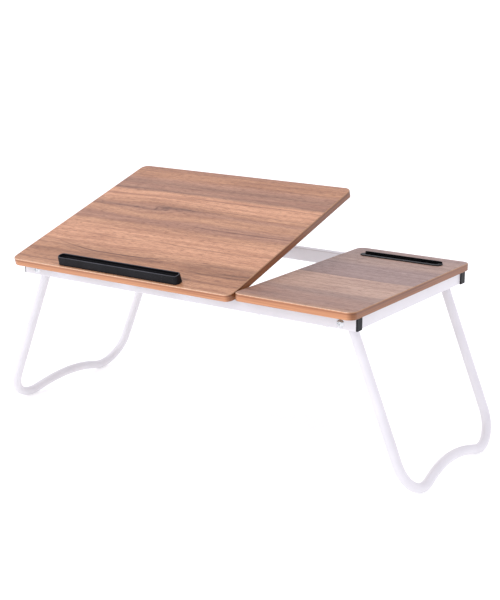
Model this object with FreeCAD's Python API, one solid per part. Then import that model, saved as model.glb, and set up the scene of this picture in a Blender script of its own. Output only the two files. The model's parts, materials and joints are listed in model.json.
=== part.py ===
import FreeCAD, Part
import math
import os
from FreeCAD import Vector

# Folding lap table: a white steel frame on two folding wave-bottom legs, with a fixed side
# board and a tilting reading board.  Millimetres.  X runs along the table, Y to the rear,
# Z up.  The origin is on the floor, under the middle of the table.
# It is drawn as it stands in use: legs open, reading board propped at its second level.

# ---- driving dimensions ----
TABLE_LENGTH = 550.0          # both boards and the gap between them
TABLE_DEPTH = 320.0
TABLE_HEIGHT = 240.0          # floor to the top of the fixed board
BOARD_THICKNESS = 9.8
BOARD_CORNER = 11.0           # plan radius of the board corners
BOARD_EDGE = 1.2              # rounding of the top edge
FIXED_WIDTH = 173.0
BOARD_GAP = 3.2
TILTING_DEPTH = 314.0
TILT_REST = 17.1              # degrees, second level of the rack
TILT_MAX = 35.0

RAIL_THICKNESS = 12.7         # half-inch by three-quarter tube
RAIL_HEIGHT = 19.0
RAIL_WALL = 1.2
RAIL_CORNER = 1.5
RAIL_END_INSET = 7.4          # board end to tube end
FRONT_INSET = 21.0            # board front edge to front rail face
REAR_INSET = 4.3
END_RAIL_THICKNESS = 10.0
END_RAIL_INSET = 7.8          # board end to the outer face of an end rail
MIDDLE_RAIL_X = -22.0         # cross rail that holds the right end of the prop
MIDDLE_RAIL_WIDTH = 10.0
MIDDLE_RAIL_HEIGHT = 12.0     # shallow, so that the folded left leg passes below it
CAP_FLANGE = 1.8
CAP_PLUG_LENGTH = 9.0

TUBE_RADIUS = 6.35            # half-inch round tube
TUBE_WALL = 1.0
LEG_SPLAY = 22.0              # degrees out from upright when open
LEG_INSET = 29.0              # board end to leg pivot
LEG_DROP = 11.5               # rail top to leg pivot
LEG_SIDE_GAP = 4.0            # rail inner face to leg tube
LEG_TOP_LENGTH = 6.0          # tube above the pivot
FOOT_BEND = 44.0              # centreline radius of the two feet
FOOT_RISE_ANGLE = 15.0        # slope between a foot and the hump
HUMP_RISE = 12.5              # hump above the feet
LEG_PLUG_FLANGE = 1.0
LEG_PLUG_DEPTH = 2.4

RUN_GAP = 0.3                 # between faces that pass each other
FIT_GAP = 0.07                # radial clearance of a pin or shaft that turns
PLUG_GAP = 0.05               # clearance round a pressed-in plug

# ---- derived places ----
HALF_LENGTH = TABLE_LENGTH / 2
HALF_DEPTH = TABLE_DEPTH / 2
RAIL_TOP = TABLE_HEIGHT - BOARD_THICKNESS
RAIL_BOTTOM = RAIL_TOP - RAIL_HEIGHT
RAIL_END_X = HALF_LENGTH - RAIL_END_INSET
FRONT_FACE_Y = -HALF_DEPTH + FRONT_INSET
FRONT_INNER_Y = FRONT_FACE_Y + RAIL_THICKNESS
REAR_FACE_Y = HALF_DEPTH - REAR_INSET
REAR_INNER_Y = REAR_FACE_Y - RAIL_THICKNESS
END_RAIL_OUTER_X = HALF_LENGTH - END_RAIL_INSET
END_RAIL_INNER_X = END_RAIL_OUTER_X - END_RAIL_THICKNESS

MIDDLE_RAIL_LEFT_X = MIDDLE_RAIL_X - MIDDLE_RAIL_WIDTH / 2
MIDDLE_RAIL_RIGHT_X = MIDDLE_RAIL_X + MIDDLE_RAIL_WIDTH / 2

FIXED_LEFT_X = HALF_LENGTH - FIXED_WIDTH
FIXED_CENTRE_X = HALF_LENGTH - FIXED_WIDTH / 2
TILTING_RIGHT_X = FIXED_LEFT_X - BOARD_GAP
TILTING_WIDTH = TILTING_RIGHT_X + HALF_LENGTH
TILTING_CENTRE_X = TILTING_RIGHT_X - TILTING_WIDTH / 2

LEG_PIVOT_X = HALF_LENGTH - LEG_INSET
LEG_PIVOT_Z = RAIL_TOP - LEG_DROP
LEG_FRONT_Y = FRONT_INNER_Y + LEG_SIDE_GAP + TUBE_RADIUS
LEG_REAR_Y = REAR_INNER_Y - LEG_SIDE_GAP - TUBE_RADIUS
LEG_CENTRE_Y = (LEG_FRONT_Y + LEG_REAR_Y) / 2
LEG_HALF_WIDTH = (LEG_REAR_Y - LEG_FRONT_Y) / 2
FOOT_REACH = (LEG_PIVOT_Z - TUBE_RADIUS) / math.cos(math.radians(LEG_SPLAY))

# ---- hinge of the tilting board ----
HINGE_COUNT = 3
HINGE_SPACING = 110.0
HINGE_LENGTH = 34.0
KNUCKLE_RADIUS = 2.2
KNUCKLE_GAP = 0.2             # knuckle to rail face
PIN_RADIUS = 1.0
LEAF_THICKNESS = 1.2
BOARD_LEAF_LENGTH = 15.0
FRAME_LEAF_LENGTH = 7.4
HINGE_SCREW_OFFSET = 9.0      # pin to the screws in the board
PIN_OVERHANG = 0.6            # pin beyond the knuckles, each end
SEAT_GAP = 0.2                # underside of the tilting board above the rails when flat
TILTING_FRONT_INSET = 2.8     # flat front edge of the tilting board behind the fixed one
HINGE_Y = FRONT_FACE_Y - KNUCKLE_RADIUS - KNUCKLE_GAP
HINGE_Z = RAIL_TOP - KNUCKLE_RADIUS - KNUCKLE_GAP
TILTING_BOTTOM = RAIL_TOP + SEAT_GAP
TILTING_TOP = TILTING_BOTTOM + BOARD_THICKNESS
TILTING_FRONT_Y = -HALF_DEPTH + TILTING_FRONT_INSET

# ---- prop and racks ----
# The prop pivots as far behind the hinge line as it is long, so it turns exactly twice as
# far as the board and its cross bar slides along the underside.
PROP_LENGTH = 115.0
PROP_RADIUS = 2.5
PROP_BEND = 6.0
PROP_DROP = 3.5               # prop pivot below the hinge line
PROP_PIVOT_Y = HINGE_Y + PROP_LENGTH
PROP_PIVOT_Z = HINGE_Z - PROP_DROP
PROP_SEAT = 6.0               # length of wire inside each rail
PROP_ARM_GAP = 7.2            # rail face to the middle of an arm
BUSH_FLANGE = 1.0
BUSH_RADIUS = 3.6
BUSH_RIM = 1.2
BUSH_SLEEVE = 4.0
RACK_BASE = 1.2
RACK_TOOTH = 1.6
RACK_WIDTH = 14.0
RACK_LEVELS = (11.5, TILT_REST, 22.0, 26.5, 31.0, TILT_MAX)
RACK_END = 9.0                # rack beyond its first and last notch
RACK_EDGE_OFFSET = 36.0       # rack centre from the prop arms
RACK_SCREW_INSET = 3.2
RACK_TAB = 6.4                # bare strip at each end, for a screw
RACK_NOTCH_DEPTH = 1.3

# ---- fittings ----
STOP_LENGTH = 206.0           # book stop along the front of the tilting board
STOP_DEPTH = 14.0
STOP_HEIGHT = 12.0
STOP_SETBACK = 3.8
STOP_WALL = 1.6
STOP_GROOVE = 4.0
STOP_END_RADIUS = 5.0
STOP_EDGE = 0.5
STOP_SCREW_INSET = 7.0
STOP_COUNTERBORE_RADIUS = 3.6
STOP_COUNTERBORE_DEPTH = 2.0

INSERT_LENGTH = 125.0         # liner of the tablet slot
INSERT_DEPTH = 18.0
INSERT_FRONT_Y = 112.0
INSERT_FLANGE = 1.2
INSERT_LIP = 2.2              # raised rear lip
INSERT_LIP_WIDTH = 2.4
SLOT_LENGTH = 113.0
SLOT_DEPTH = 8.4
SLOT_REAR_RIM = 3.4
INSERT_WALL = 1.5

BOLT_RADIUS = 3.0             # M6 leg pivots
BOLT_LENGTH = 40.0
BOLT_HEAD_RADIUS = 5.4
BOLT_HEAD_HEIGHT = 3.3
WASHER_RADIUS = 6.0
WASHER_THICKNESS = 1.2
NUT_ACROSS_FLATS = 10.0
NUT_HEIGHT = 6.0
NUT_HEX_SHARE = 0.75          # of the nut's height, below its round collar
NUT_COLLAR_STEP = 0.4
NUT_COLLAR_ROUND = 0.6
SPACER_RADIUS = 5.5
PAD_THICKNESS = 1.6
PAD_HALF_WIDTH = 6.0
PAD_HEIGHT = 8.0

SCREW_POSITIONS_X = (125.0, 225.0)    # fixed board screws
SCREW_RADIUS = 2.0
SCREW_BITE = 6.5                      # thread inside a board
SMALL_SCREW_RADIUS = 1.5
SMALL_SCREW_BITE = 7.0
RIVET_RADIUS = 1.2
RIVET_Z = HINGE_Z - 4.6
RIVET_OFFSET = 10.0

# head radius and height of each small fastener
BOARD_SCREW_HEAD = (3.8, 2.4)
STOP_SCREW_HEAD = (3.2, 1.8)
HINGE_SCREW_HEAD = (2.8, 1.5)
RACK_SCREW_HEAD = (2.6, 1.4)
RIVET_HEAD = (2.0, 1.0)
CROSS_REACH = 0.5             # arm of a cross recess, in head radii
CROSS_HALF_WIDTH = 0.11
CROSS_DEPTH = 0.5             # in head heights
CUTTER_SLACK = 1.0            # how far a cutting tool stands out of what it cuts
END_ROUND_SLACK = 0.01        # a half-round end keeps this sliver of flat

UP = Vector(0, 0, 1)
DOWN = Vector(0, 0, -1)
ALONG = Vector(1, 0, 0)
BACK = Vector(0, 1, 0)
FRONT = Vector(0, -1, 0)


# ---- helpers ----
def box(x0, x1, y0, y1, z0, z1):
    return Part.makeBox(x1 - x0, y1 - y0, z1 - z0, Vector(x0, y0, z0))


def rod(radius, start, direction, length):
    return Part.makeCylinder(radius, length, start, direction)


def edges_along(shape, direction):
    """Straight edges parallel to a direction."""
    found = []
    for edge in shape.Edges:
        if isinstance(edge.Curve, Part.Line) and edge.Curve.Direction.cross(direction).Length < 1e-6:
            found.append(edge)
    return found


def edges_at_height(shape, z):
    """Edges that lie wholly in one level plane."""
    return [e for e in shape.Edges if all(abs(v.Z - z) < 1e-6 for v in e.Vertexes)]


def rounded_bar(x0, x1, y0, y1, z0, z1, direction, radius):
    bar = box(x0, x1, y0, y1, z0, z1)
    return bar.makeFillet(radius, edges_along(bar, direction))


def rail(x0, x1, y0, y1, direction, height=RAIL_HEIGHT):
    """A rectangular tube hung from the level of the rail tops, open at both ends."""
    z0 = RAIL_TOP - height
    outer = rounded_bar(x0, x1, y0, y1, z0, RAIL_TOP, direction, RAIL_CORNER)
    in_x = RAIL_WALL * (1 - abs(direction.x))
    in_y = RAIL_WALL * (1 - abs(direction.y))
    bore = box(x0 + in_x, x1 - in_x, y0 + in_y, y1 - in_y, z0 + RAIL_WALL, RAIL_TOP - RAIL_WALL)
    return outer.cut(bore)


def placed(shape, point, direction):
    """Turn a shape drawn along +Z to a direction and move it to a point."""
    moved = shape.copy()
    moved.Placement = FreeCAD.Placement(point, FreeCAD.Rotation(UP, direction))
    return moved


def tilted(shape):
    """Swing a shape drawn on the flat tilting board up to its rest level."""
    moved = shape.copy()
    moved.rotate(Vector(0, HINGE_Y, HINGE_Z), ALONG, TILT_REST)
    return moved


def stadium(length, depth, z0, z1, centre_x, centre_y):
    """A long plate with half-round ends."""
    bar = box(centre_x - length / 2, centre_x + length / 2,
              centre_y - depth / 2, centre_y + depth / 2, z0, z1)
    return bar.makeFillet(depth / 2 - END_ROUND_SLACK, edges_along(bar, UP))


def swept(path_edges, radius):
    """A round bar along a path of straight runs and tangent arcs."""
    path = Part.Wire(path_edges)
    start = path_edges[0].Vertexes[0].Point
    heading = path_edges[0].Vertexes[-1].Point - start
    ring = Part.Wire([Part.makeCircle(radius, start, heading)])
    return path.makePipeShell([ring], True, False)


def domed_screw(head, shank_radius, length):
    """Head up, seat at z = 0, shank down; a cross recess in the dome."""
    head_radius, head_height = head
    sphere_radius = (head_radius ** 2 + head_height ** 2) / (2 * head_height)
    ball = Part.makeSphere(sphere_radius, Vector(0, 0, head_height - sphere_radius))
    dome = ball.common(rod(head_radius, Vector(0, 0, 0), UP, head_height))
    arm = head_radius * CROSS_REACH
    slot = head_radius * CROSS_HALF_WIDTH
    floor = head_height * (1 - CROSS_DEPTH)
    for half_x, half_y in ((arm, slot), (slot, arm)):
        dome = dome.cut(box(-half_x, half_x, -half_y, half_y, floor, head_height))
    return dome.fuse(rod(shank_radius, Vector(0, 0, 0), DOWN, length)).removeSplitter()


def line(a, b):
    return Part.makeLine(a, b)


def export(name, solids):
    shapes = solids if isinstance(solids, list) else [solids]
    shape = shapes[0] if len(shapes) == 1 else Part.makeCompound(shapes)
    if not shape.isValid():
        raise RuntimeError(name + " is not a valid shape")
    shape.exportStep("parts/" + name + ".step")


# ---- frame ----
def pivot_hole_cutters():
    """Bolt holes through the front and rear rails."""
    starts = [Vector(side * LEG_PIVOT_X, -HALF_DEPTH, LEG_PIVOT_Z) for side in (-1, 1)]
    return [rod(BOLT_RADIUS + PLUG_GAP, start, BACK, TABLE_DEPTH) for start in starts]


def board_screw_cutters(y):
    start_z = RAIL_BOTTOM - CUTTER_SLACK
    length = RAIL_HEIGHT + 2 * CUTTER_SLACK
    return [rod(SCREW_RADIUS + PLUG_GAP, Vector(x, y, start_z), UP, length) for x in SCREW_POSITIONS_X]


def rivet_places():
    return [x + side * RIVET_OFFSET for x in hinge_centres() for side in (-1, 1)]


def build_long_rails():
    front = rail(-RAIL_END_X, RAIL_END_X, FRONT_FACE_Y, FRONT_INNER_Y, ALONG)
    rear = rail(-RAIL_END_X, RAIL_END_X, REAR_INNER_Y, REAR_FACE_Y, ALONG)
    mid = RAIL_THICKNESS / 2
    front_cutters = pivot_hole_cutters() + board_screw_cutters(FRONT_FACE_Y + mid)
    for x in rivet_places():
        start = Vector(x, FRONT_FACE_Y - CUTTER_SLACK, RIVET_Z)
        front_cutters.append(rod(RIVET_RADIUS, start, BACK, RAIL_WALL + CUTTER_SLACK))
    rear_cutters = pivot_hole_cutters() + board_screw_cutters(REAR_FACE_Y - mid)
    export("front_rail", front.cut(front_cutters))
    export("rear_rail", rear.cut(rear_cutters))


def bush_hole(x, direction):
    start = Vector(x, PROP_PIVOT_Y, PROP_PIVOT_Z) - direction * CUTTER_SLACK
    return rod(BUSH_RADIUS, start, direction, RAIL_WALL + CUTTER_SLACK)


def build_cross_rails():
    for name, side in (("left_end_rail", -1), ("right_end_rail", 1)):
        x0, x1 = sorted((side * END_RAIL_INNER_X, side * END_RAIL_OUTER_X))
        tube = rail(x0, x1, FRONT_INNER_Y, REAR_INNER_Y, BACK)
        if side < 0:
            tube = tube.cut(bush_hole(-END_RAIL_INNER_X, ALONG * -1))
        export(name, tube)
    middle = rail(MIDDLE_RAIL_LEFT_X, MIDDLE_RAIL_RIGHT_X, FRONT_INNER_Y, REAR_INNER_Y, BACK,
                  MIDDLE_RAIL_HEIGHT)
    export("middle_rail", middle.cut(bush_hole(MIDDLE_RAIL_LEFT_X, ALONG)))


def build_end_caps():
    inner = RAIL_WALL + PLUG_GAP
    for depth_name, y0 in (("front", FRONT_FACE_Y), ("rear", REAR_INNER_Y)):
        for side_name, side in (("left", -1), ("right", 1)):
            x0, x1 = sorted((side * RAIL_END_X, side * (RAIL_END_X + CAP_FLANGE)))
            y1 = y0 + RAIL_THICKNESS
            plate = rounded_bar(x0, x1, y0, y1, RAIL_BOTTOM, RAIL_TOP, ALONG, RAIL_CORNER)
            p0, p1 = sorted((side * RAIL_END_X, side * (RAIL_END_X - CAP_PLUG_LENGTH)))
            plug = box(p0, p1, y0 + inner, y1 - inner, RAIL_BOTTOM + inner, RAIL_TOP - inner)
            export(depth_name + "_" + side_name + "_end_cap", plate.fuse(plug).removeSplitter())


# ---- boards ----
def board(x0, x1, y0, y1, z0):
    """A laminated board with round plan corners and eased edges."""
    z1 = z0 + BOARD_THICKNESS
    plate = rounded_bar(x0, x1, y0, y1, z0, z1, UP, BOARD_CORNER)
    plate = plate.makeFillet(BOARD_EDGE, edges_at_height(plate, z1))
    return plate.makeFillet(BOARD_EDGE / 2, edges_at_height(plate, z0))


def build_fixed_board():
    plate = board(FIXED_LEFT_X, HALF_LENGTH, -HALF_DEPTH, HALF_DEPTH, RAIL_TOP)
    length = SLOT_LENGTH + 2 * (INSERT_WALL + PLUG_GAP)
    depth = SLOT_DEPTH + 2 * (INSERT_WALL + PLUG_GAP)
    slot = stadium(length, depth, RAIL_TOP - CUTTER_SLACK, TABLE_HEIGHT + CUTTER_SLACK,
                   FIXED_CENTRE_X, slot_centre_y())
    cutters = [slot]
    for x, y in board_screw_places():
        start = Vector(x, y, RAIL_TOP - CUTTER_SLACK)
        cutters.append(rod(SCREW_RADIUS, start, UP, SCREW_BITE + CUTTER_SLACK))
    export("fixed_board", plate.cut(cutters))


def board_screw_places():
    rows = (FRONT_FACE_Y + RAIL_THICKNESS / 2, REAR_FACE_Y - RAIL_THICKNESS / 2)
    return [(x, y) for y in rows for x in SCREW_POSITIONS_X]


def build_fixed_board_screws():
    screw = domed_screw(BOARD_SCREW_HEAD, SCREW_RADIUS, RAIL_HEIGHT + SCREW_BITE)
    screws = [placed(screw, Vector(x, y, RAIL_BOTTOM), DOWN) for x, y in board_screw_places()]
    export("fixed_board_screws", screws)


def slot_centre_y():
    return INSERT_FRONT_Y + INSERT_DEPTH - SLOT_REAR_RIM - SLOT_DEPTH / 2


def build_slot_insert():
    """A liner for the tablet slot: flat front rim, raised rear lip, wall through the board."""
    top = TABLE_HEIGHT
    centre_y = INSERT_FRONT_Y + INSERT_DEPTH / 2
    flange = stadium(INSERT_LENGTH, INSERT_DEPTH, top, top + INSERT_FLANGE + INSERT_LIP,
                     FIXED_CENTRE_X, centre_y)
    lip_front = INSERT_FRONT_Y + INSERT_DEPTH - INSERT_LIP_WIDTH
    above_lip = top + INSERT_FLANGE + INSERT_LIP + CUTTER_SLACK
    above_rim = box(FIXED_CENTRE_X - INSERT_LENGTH, FIXED_CENTRE_X + INSERT_LENGTH,
                    INSERT_FRONT_Y - CUTTER_SLACK, lip_front, top + INSERT_FLANGE, above_lip)
    flange = flange.cut(above_rim)
    wall = stadium(SLOT_LENGTH + 2 * INSERT_WALL, SLOT_DEPTH + 2 * INSERT_WALL,
                   RAIL_TOP, top, FIXED_CENTRE_X, slot_centre_y())
    opening = stadium(SLOT_LENGTH, SLOT_DEPTH, RAIL_TOP - CUTTER_SLACK, above_lip,
                      FIXED_CENTRE_X, slot_centre_y())
    export("tablet_slot_insert", flange.fuse(wall).cut(opening).removeSplitter())


def small_screw_cutters(places):
    """Pilot holes up into the underside of the flat tilting board."""
    start_z = TILTING_BOTTOM - CUTTER_SLACK
    return [rod(SMALL_SCREW_RADIUS, Vector(x, y, start_z), UP, SMALL_SCREW_BITE + CUTTER_SLACK)
            for x, y in places]


def build_tilting_board():
    rear_y = TILTING_FRONT_Y + TILTING_DEPTH
    plate = board(-HALF_LENGTH, TILTING_RIGHT_X, TILTING_FRONT_Y, rear_y, TILTING_BOTTOM)
    cutters = small_screw_cutters(hinge_screw_places() + rack_screw_places())
    for x in stop_screw_places():
        start = Vector(x, stop_centre_y(), TILTING_TOP + CUTTER_SLACK)
        cutters.append(rod(SMALL_SCREW_RADIUS, start, DOWN, SMALL_SCREW_BITE + CUTTER_SLACK))
    export("tilting_board", tilted(plate.cut(cutters)))


# ---- hinges ----
def hinge_centres():
    middle = (HINGE_COUNT - 1) / 2
    return [TILTING_CENTRE_X + (i - middle) * HINGE_SPACING for i in range(HINGE_COUNT)]


def hinge_screw_places():
    y = HINGE_Y - HINGE_SCREW_OFFSET
    return [(x + side * RIVET_OFFSET, y) for x in hinge_centres() for side in (-1, 1)]


def build_hinge(label, x):
    """Three knuckles: the outer two belong to the frame leaf, the middle one to the board."""
    half = HINGE_LENGTH / 2
    third = HINGE_LENGTH / 6
    clear = KNUCKLE_RADIUS + RUN_GAP
    bore_length = HINGE_LENGTH + 2 * CUTTER_SLACK

    leaf_face_y = FRONT_FACE_Y - LEAF_THICKNESS
    plate = box(x - half, x + half, leaf_face_y, FRONT_FACE_Y, HINGE_Z - FRAME_LEAF_LENGTH, HINGE_Z)
    notch = box(x - third - RUN_GAP, x + third + RUN_GAP, leaf_face_y - CUTTER_SLACK,
                FRONT_FACE_Y + CUTTER_SLACK, HINGE_Z - clear, HINGE_Z + CUTTER_SLACK)
    frame_leaf = plate.cut(notch)
    for start in (x - half, x + third + RUN_GAP):
        knuckle = rod(KNUCKLE_RADIUS, Vector(start, HINGE_Y, HINGE_Z), ALONG, half - third - RUN_GAP)
        frame_leaf = frame_leaf.fuse(knuckle)
    bore_start = Vector(x - half - CUTTER_SLACK, HINGE_Y, HINGE_Z)
    cutters = [rod(PIN_RADIUS, bore_start, ALONG, bore_length)]
    for side in (-1, 1):
        start = Vector(x + side * RIVET_OFFSET, leaf_face_y - CUTTER_SLACK, RIVET_Z)
        cutters.append(rod(RIVET_RADIUS, start, BACK, LEAF_THICKNESS + 2 * CUTTER_SLACK))
    export("hinge_frame_leaf_" + label, frame_leaf.cut(cutters).removeSplitter())

    top = TILTING_BOTTOM
    seat = top - LEAF_THICKNESS
    front_y = leaf_face_y - BOARD_LEAF_LENGTH
    board_leaf = box(x - half, x + half, front_y, HINGE_Y, seat, top)
    for start in (x - half - CUTTER_SLACK, x + third):
        board_leaf = board_leaf.cut(box(start, start + half - third + CUTTER_SLACK, HINGE_Y - clear,
                                        HINGE_Y + CUTTER_SLACK, seat - CUTTER_SLACK, top + CUTTER_SLACK))
    middle = rod(KNUCKLE_RADIUS, Vector(x - third, HINGE_Y, HINGE_Z), ALONG, 2 * third)
    board_leaf = board_leaf.fuse(middle)
    cutters = [rod(PIN_RADIUS + FIT_GAP, bore_start, ALONG, bore_length)]
    for side in (-1, 1):
        start = Vector(x + side * RIVET_OFFSET, HINGE_Y - HINGE_SCREW_OFFSET, seat - CUTTER_SLACK)
        cutters.append(rod(SMALL_SCREW_RADIUS, start, UP, LEAF_THICKNESS + 2 * CUTTER_SLACK))
    export("hinge_board_leaf_" + label, tilted(board_leaf.cut(cutters).removeSplitter()))

    pin_start = Vector(x - half - PIN_OVERHANG, HINGE_Y, HINGE_Z)
    export("hinge_pin_" + label, rod(PIN_RADIUS, pin_start, ALONG, HINGE_LENGTH + 2 * PIN_OVERHANG))


def build_hinges():
    for label, x in zip(("left", "middle", "right"), hinge_centres()):
        build_hinge(label, x)
    rivet = domed_screw(RIVET_HEAD, RIVET_RADIUS, LEAF_THICKNESS + RAIL_WALL)
    seat_y = FRONT_FACE_Y - LEAF_THICKNESS
    export("hinge_rivets", [placed(rivet, Vector(x, seat_y, RIVET_Z), FRONT) for x in rivet_places()])
    screw = domed_screw(HINGE_SCREW_HEAD, SMALL_SCREW_RADIUS, LEAF_THICKNESS + SMALL_SCREW_BITE)
    seat_z = TILTING_BOTTOM - LEAF_THICKNESS
    screws = [placed(screw, Vector(x, y, seat_z), DOWN) for x, y in hinge_screw_places()]
    export("hinge_screws", [tilted(screw) for screw in screws])


# ---- book stop ----
def stop_centre_y():
    return TILTING_FRONT_Y + STOP_SETBACK + STOP_DEPTH / 2


def stop_screw_places():
    reach = STOP_LENGTH / 2 - STOP_SCREW_INSET
    return [TILTING_CENTRE_X - reach, TILTING_CENTRE_X + reach]


def stop_seat_z():
    """Where the screw heads sit, in their counterbores in the groove."""
    return TILTING_TOP + STOP_HEIGHT - STOP_GROOVE - STOP_COUNTERBORE_DEPTH


def build_book_stop():
    """A long ledge with rounded ends and a shallow groove along its top."""
    top = TILTING_TOP + STOP_HEIGHT
    floor = top - STOP_GROOVE
    y = stop_centre_y()
    bar = rounded_bar(TILTING_CENTRE_X - STOP_LENGTH / 2, TILTING_CENTRE_X + STOP_LENGTH / 2,
                      y - STOP_DEPTH / 2, y + STOP_DEPTH / 2, TILTING_TOP, top, UP, STOP_END_RADIUS)
    bar = bar.makeFillet(STOP_EDGE, edges_at_height(bar, top))
    inner_length = STOP_LENGTH - 2 * STOP_WALL
    inner_depth = STOP_DEPTH - 2 * STOP_WALL
    groove = rounded_bar(TILTING_CENTRE_X - inner_length / 2, TILTING_CENTRE_X + inner_length / 2,
                         y - inner_depth / 2, y + inner_depth / 2, floor, top + CUTTER_SLACK,
                         UP, STOP_END_RADIUS - STOP_WALL)
    cutters = [groove]
    for x in stop_screw_places():
        counterbore = rod(STOP_COUNTERBORE_RADIUS, Vector(x, y, stop_seat_z()), UP,
                          STOP_COUNTERBORE_DEPTH + CUTTER_SLACK)
        hole = rod(SMALL_SCREW_RADIUS, Vector(x, y, TILTING_TOP - CUTTER_SLACK), UP, STOP_HEIGHT)
        cutters += [counterbore, hole]
    export("book_stop", tilted(bar.cut(cutters)))

    seat_z = stop_seat_z()
    screw = domed_screw(STOP_SCREW_HEAD, SMALL_SCREW_RADIUS, seat_z - TILTING_TOP + SMALL_SCREW_BITE)
    export("book_stop_screws", [tilted(placed(screw, Vector(x, y, seat_z), UP)) for x in stop_screw_places()])


# ---- prop ----
def prop_arm_x():
    left = -END_RAIL_INNER_X + PROP_ARM_GAP
    right = MIDDLE_RAIL_LEFT_X - PROP_ARM_GAP
    return left, right


def quarter_bend(start, corner, end):
    """The arc of a right-angle bend that starts and ends on its two runs."""
    centre = start + end - corner
    radius = (start - centre).Length
    outward = (corner - centre).normalize()
    return Part.Arc(start, centre + outward * radius, end).toShape()


def bent_wire(points, bend):
    """Straight runs through points, each right-angle corner rounded to one radius."""
    edges = []
    current = points[0]
    for i in range(1, len(points) - 1):
        corner = points[i]
        into = (corner - points[i - 1]).normalize()
        out = (points[i + 1] - corner).normalize()
        bend_start = corner - into * bend
        bend_end = corner + out * bend
        edges.append(line(current, bend_start))
        edges.append(quarter_bend(bend_start, corner, bend_end))
        current = bend_end
    edges.append(line(current, points[-1]))
    return edges


def build_prop():
    left, right = prop_arm_x()
    seat_left = -END_RAIL_INNER_X - PROP_SEAT
    seat_right = MIDDLE_RAIL_LEFT_X + PROP_SEAT
    near = PROP_PIVOT_Y
    far = PROP_PIVOT_Y + PROP_LENGTH
    z = PROP_PIVOT_Z
    points = [Vector(seat_left, near, z), Vector(left, near, z), Vector(left, far, z),
              Vector(right, far, z), Vector(right, near, z), Vector(seat_right, near, z)]
    wire = swept(bent_wire(points, PROP_BEND), PROP_RADIUS)
    wire.rotate(Vector(0, near, z), ALONG, 2 * TILT_REST)
    export("prop_wire", wire)

    for name, face_x, inward in (("left_prop_bush", -END_RAIL_INNER_X, ALONG * -1),
                                 ("right_prop_bush", MIDDLE_RAIL_LEFT_X, ALONG)):
        face = Vector(face_x, PROP_PIVOT_Y, PROP_PIVOT_Z)
        flange = rod(BUSH_RADIUS + BUSH_RIM, face - inward * BUSH_FLANGE, inward, BUSH_FLANGE)
        sleeve = rod(BUSH_RADIUS, face, inward, BUSH_SLEEVE)
        bore_length = 2 * (BUSH_FLANGE + BUSH_SLEEVE)
        bore = rod(PROP_RADIUS + FIT_GAP, face - inward * BUSH_SLEEVE, inward, bore_length)
        export(name, flange.fuse(sleeve).cut(bore).removeSplitter())


def bar_distance(tilt):
    """Hinge line to prop bar, measured along the board, at a tilt."""
    angle = math.radians(tilt)
    return 2 * PROP_LENGTH * math.cos(angle) - PROP_DROP * math.sin(angle)


def rack_span():
    return (HINGE_Y + bar_distance(RACK_LEVELS[-1]) - RACK_END,
            HINGE_Y + bar_distance(RACK_LEVELS[0]) + RACK_END)


def rack_centres():
    left, right = prop_arm_x()
    return [left + RACK_EDGE_OFFSET, right - RACK_EDGE_OFFSET]


def rack_screw_places():
    y0, y1 = rack_span()
    return [(x, y) for x in rack_centres() for y in (y0 + RACK_SCREW_INSET, y1 - RACK_SCREW_INSET)]


def build_racks():
    """Two notched strips under the tilting board; the prop's cross bar passes their teeth."""
    y0, y1 = rack_span()
    tip = TILTING_BOTTOM - RACK_BASE - RACK_TOOTH
    seat_z = TILTING_BOTTOM - RACK_BASE
    notch_radius = PROP_RADIUS + RUN_GAP
    notch_z = tip + RACK_NOTCH_DEPTH - notch_radius
    for name, x in zip(("left_rack", "right_rack"), rack_centres()):
        x0 = x - RACK_WIDTH / 2
        x1 = x + RACK_WIDTH / 2
        strip = box(x0, x1, y0, y1, seat_z, TILTING_BOTTOM)
        teeth = box(x0, x1, y0 + RACK_TAB, y1 - RACK_TAB, tip, seat_z)
        strip = strip.fuse(teeth).removeSplitter()
        cutters = []
        for level in RACK_LEVELS:
            start = Vector(x0 - CUTTER_SLACK, HINGE_Y + bar_distance(level), notch_z)
            cutters.append(rod(notch_radius, start, ALONG, RACK_WIDTH + 2 * CUTTER_SLACK))
        for hole_y in (y0 + RACK_SCREW_INSET, y1 - RACK_SCREW_INSET):
            start = Vector(x, hole_y, seat_z - CUTTER_SLACK)
            cutters.append(rod(SMALL_SCREW_RADIUS, start, UP, RACK_BASE + 2 * CUTTER_SLACK))
        export(name, tilted(strip.cut(cutters)))
    screw = domed_screw(RACK_SCREW_HEAD, SMALL_SCREW_RADIUS, RACK_BASE + SMALL_SCREW_BITE)
    export("rack_screws", [tilted(placed(screw, Vector(x, y, seat_z), DOWN)) for x, y in rack_screw_places()])


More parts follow.
